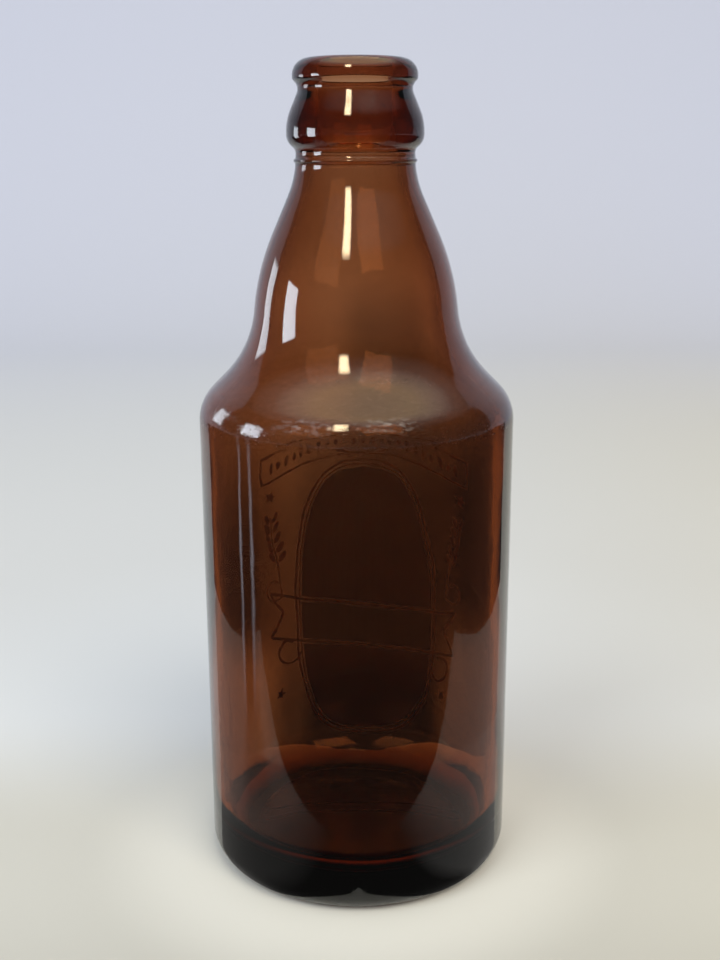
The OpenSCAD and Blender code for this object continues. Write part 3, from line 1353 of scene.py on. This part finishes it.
@dataclass
class Studio:
    """A pale sweep of paper with a window to the left and a warm lamp above the camera."""

    depth: float = 1.1
    reach: float = 4.0
    rise: float = 1.8
    curve: float = 0.35
    apron_reach: float = 96.0
    apron_hole: float = 31.5
    apron_front: float = -66.0
    edge_place: Place = (0.0320, -0.0136, 0.0)
    edge_way: Place = (-0.966, 1.0, 0.0)
    paper: Paper = field(default_factory=Paper)

    def _sweep(self) -> None:
        """The floor, curving up into the backdrop."""
        bm = bmesh.new()
        curve = [(self.depth - self.curve + self.curve * math.sin(a), self.curve * (1 - math.cos(a)))
                 for a in (math.radians(i * 7.5) for i in range(13))]
        line = [(-self.reach, 0.0), *curve, (self.depth, self.rise)]
        verts = [bm.verts.new((-self.reach, y, z)) for y, z in line]
        edges = [bm.edges.new(pair) for pair in zip(verts, verts[1:])]
        made = bmesh.ops.extrude_edge_only(bm, edges=edges)
        moved = [v for v in made["geom"] if isinstance(v, bmesh.types.BMVert)]
        bmesh.ops.translate(bm, verts=moved, vec=(2 * self.reach, 0.0, 0.0))
        bmesh.ops.recalc_face_normals(bm, faces=bm.faces[:])
        sweep = finish_mesh("studio_sweep", bm)
        sweep.data.materials.append(self.paper.material())

    def _cards(self) -> None:
        """Window panes, lamp and dark flags, seen in the glass only as reflections."""
        window = Glow((0.80, 0.90, 1.0), 13.0, 0.12).material("window_glow")
        dim = Glow((0.80, 0.90, 1.0), 6.0, 0.2).material("window_side_glow")
        streak = Glow((0.82, 0.86, 1.0), 2.2, 0.9).material("window_streak_glow")
        Card("window_front", (-0.215, -0.058, 0.150), (1, 0, 0), 0.070, 0.080).make(window)
        Card("window_back", (-0.205, 0.085, 0.150), (1, -0.3, 0), 0.055, 0.080).make(dim)
        Card("window_streak_front", (-0.105, -0.038, 0.058), (1, 0, 0), 0.007, 0.115).make(streak)
        Card("window_streak_back", (-0.105, -0.020, 0.058), (1, 0, 0), 0.006, 0.115).make(streak)
        lamp = Glow((1.0, 0.80, 0.50), 30.0, 0.5).material("lamp_glow")
        Card("lamp", (-0.13, -0.52, 0.62), (0.15, 0.75, -0.65), 0.13, 0.26).make(lamp)
        dark = Glow((0.85, 0.93, 1.0), 0.05).material("flag_dark")
        Card("flag_front", (0.0, -0.816, 0.0006), (0, 0, 1), 3.0, 1.5).make(dark)
        soft = Glow((0.85, 0.93, 1.0), 0.05, 0.5).material("flag_soft")
        Card("flag_near_left", (-0.210, -0.033, 0.0011), (0, 0, 1), 0.33, 0.036).make(soft)
        for side in (-1, 1):
            grey = Glow((1.0, 0.97, 0.92), 0.40).material(f"floor_glow_{side + 2}")
            Card(f"floor_{side + 2}", (side * 0.133, 0.02, 0.0005), (0, 0, 1), 0.085, 0.172,
                 cut=self._room_edge(side)).make(grey)
            Card(f"flag_{side + 2}", (side * 0.875, 0.40, 0.0008), (0, 0, 1), 1.4, 0.94,
                 cut=self._room_edge(side)).make(dark)
        self._apron()

    def _room_edge(self, side: int) -> Cut:
        """The line on the floor, at one side, past which the glass mirrors the lit backdrop."""
        (x, y, z), (way_x, way_y, way_z) = self.edge_place, self.edge_way
        return ((side * x, y, z), (side * way_x, way_y, way_z))

    def _apron(self) -> None:
        """The floor close round the front of the bottle, as the glass mirrors it, in two halves."""
        glow = Apron().material()
        for side in (-1, 1):
            bm = bmesh.new()
            bmesh.ops.create_circle(bm, cap_ends=True, segments=96, radius=self.apron_reach * MM)
            bmesh.ops.inset_region(bm, faces=bm.faces[:], use_boundary=True, use_even_offset=True,
                                   thickness=(self.apron_reach - self.apron_hole) * MM)
            middle = [f for f in bm.faces if len(f.verts) > 4]
            bmesh.ops.delete(bm, geom=middle, context="FACES_ONLY")
            bmesh.ops.translate(bm, verts=bm.verts[:], vec=(0.0, 0.0, 0.0007))
            keep_inside(bm, ((0.0, self.apron_front * MM, 0.0), (0.0, -1.0, 0.0)))
            keep_inside(bm, ((0.0, 0.0, 0.0), (-side, 0.0, 0.0)))
            keep_inside(bm, self._room_edge(side))
            light_up(finish_mesh(f"apron_{side + 2}", bm, smooth=False), glow)

    def _room(self) -> None:
        """The dim room round the set."""
        room = Room()
        bm = bmesh.new()
        bmesh.ops.create_uvsphere(bm, u_segments=48, v_segments=24, radius=room.radius)
        light_up(finish_mesh("room", bm), room.material())

    def _veil(self) -> None:
        """The bottle's own shade behind its body, seen only through the glass."""
        shade = Card("shade", (0.0, 0.0372, 0.086), (0, -1, 0), 0.16, 0.17, (Rays.TRANSMISSION,))
        shade.make(Veil().material("shade_gel"))

    def _light(self, name: str, where: Place, size: float, watts: float, colour: Colour) -> None:
        """Adds one soft light that aims at the bottle and doesn't show in the glass.

        Args:
            name: the light's name.
            where: its place.
            size: its side.
            watts: its power.
            colour: its colour.
        """
        data = bpy.data.lights.new(name, "AREA")
        data.size, data.energy, data.color = size, watts, colour
        light = bpy.data.objects.new(name, data)
        light.location = where
        light.rotation_mode = "QUATERNION"
        light.rotation_quaternion = (Vector(where) - Vector((0, 0, 0.08))).to_track_quat("Z", "Y")
        light.visible_glossy = False
        bpy.context.scene.collection.objects.link(light)

    def _world(self) -> None:
        """A pale even surround that the glass doesn't mirror."""
        world = bpy.data.worlds.new("surround")
        world.use_nodes = True
        background = world.node_tree.nodes["Background"]
        background.inputs["Color"].default_value = (0.78, 0.80, 0.84, 1.0)
        background.inputs["Strength"].default_value = 0.68
        world.cycles_visibility.glossy = False
        bpy.context.scene.world = world

    def make(self) -> None:
        """Sets the studio up."""
        self._sweep()
        self._room()
        self._cards()
        self._veil()
        self._light("window_light", (-0.9, -1.0, 1.2), 1.0, 13.0, (0.86, 0.93, 1.0))
        self._light("lamp_light", (0.5, -1.0, 1.3), 0.9, 13.5, (1.0, 0.92, 0.80))
        self._world()
        log.info("studio set")


@dataclass
class ViewPoint:
    """The camera: a close hand-held view, level with the mouth and tipped down."""

    distance: float = 0.2745
    height: float = 0.1623
    tip: float = 14.90
    pan: float = 0.153
    roll: float = 0.206
    lens: float = 47.07
    sensor: float = 36.0

    def make(self) -> None:
        """Makes the camera and hands it to the scene."""
        data = bpy.data.cameras.new("camera")
        data.sensor_width, data.sensor_fit, data.lens = self.sensor, "AUTO", self.lens
        data.clip_start, data.clip_end = 0.01, 20.0
        camera = bpy.data.objects.new("camera", data)
        camera.location = (0.0, -self.distance, self.height)
        camera.rotation_mode = "XYZ"
        turn = (Matrix.Rotation(math.radians(-self.pan), 4, "Z")
                @ Matrix.Rotation(math.radians(90.0 - self.tip), 4, "X")
                @ Matrix.Rotation(math.radians(-self.roll), 4, "Z"))
        camera.rotation_euler = turn.to_euler("XYZ")
        bpy.context.scene.collection.objects.link(camera)
        bpy.context.scene.camera = camera


def set_tones() -> None:
    """Plain tone mapping, and enough bounces for light to cross both walls of the glass."""
    scene = bpy.context.scene
    scene.view_settings.view_transform = "Standard"
    scene.view_settings.look = "None"
    scene.cycles.max_bounces = 24
    scene.cycles.transmission_bounces = 20
    scene.cycles.glossy_bounces = 8
    scene.cycles.transparent_max_bounces = 16
    scene.cycles.sample_clamp_indirect = 6.0


def main() -> None:
    """Builds the bottle, its decoration, the studio and the camera, in that order."""
    logging.basicConfig(level=logging.INFO, format="%(name)s: %(message)s")
    low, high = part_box(NODE)
    outline = Outline(height=(high.z - low.z) / MM, body_d=(high.x - low.x) / MM)
    Bottle(outline).make()
    Decoration(outline).make()
    Studio().make()
    ViewPoint().make()
    set_tones()


if __name__ == "__main__":
    main()
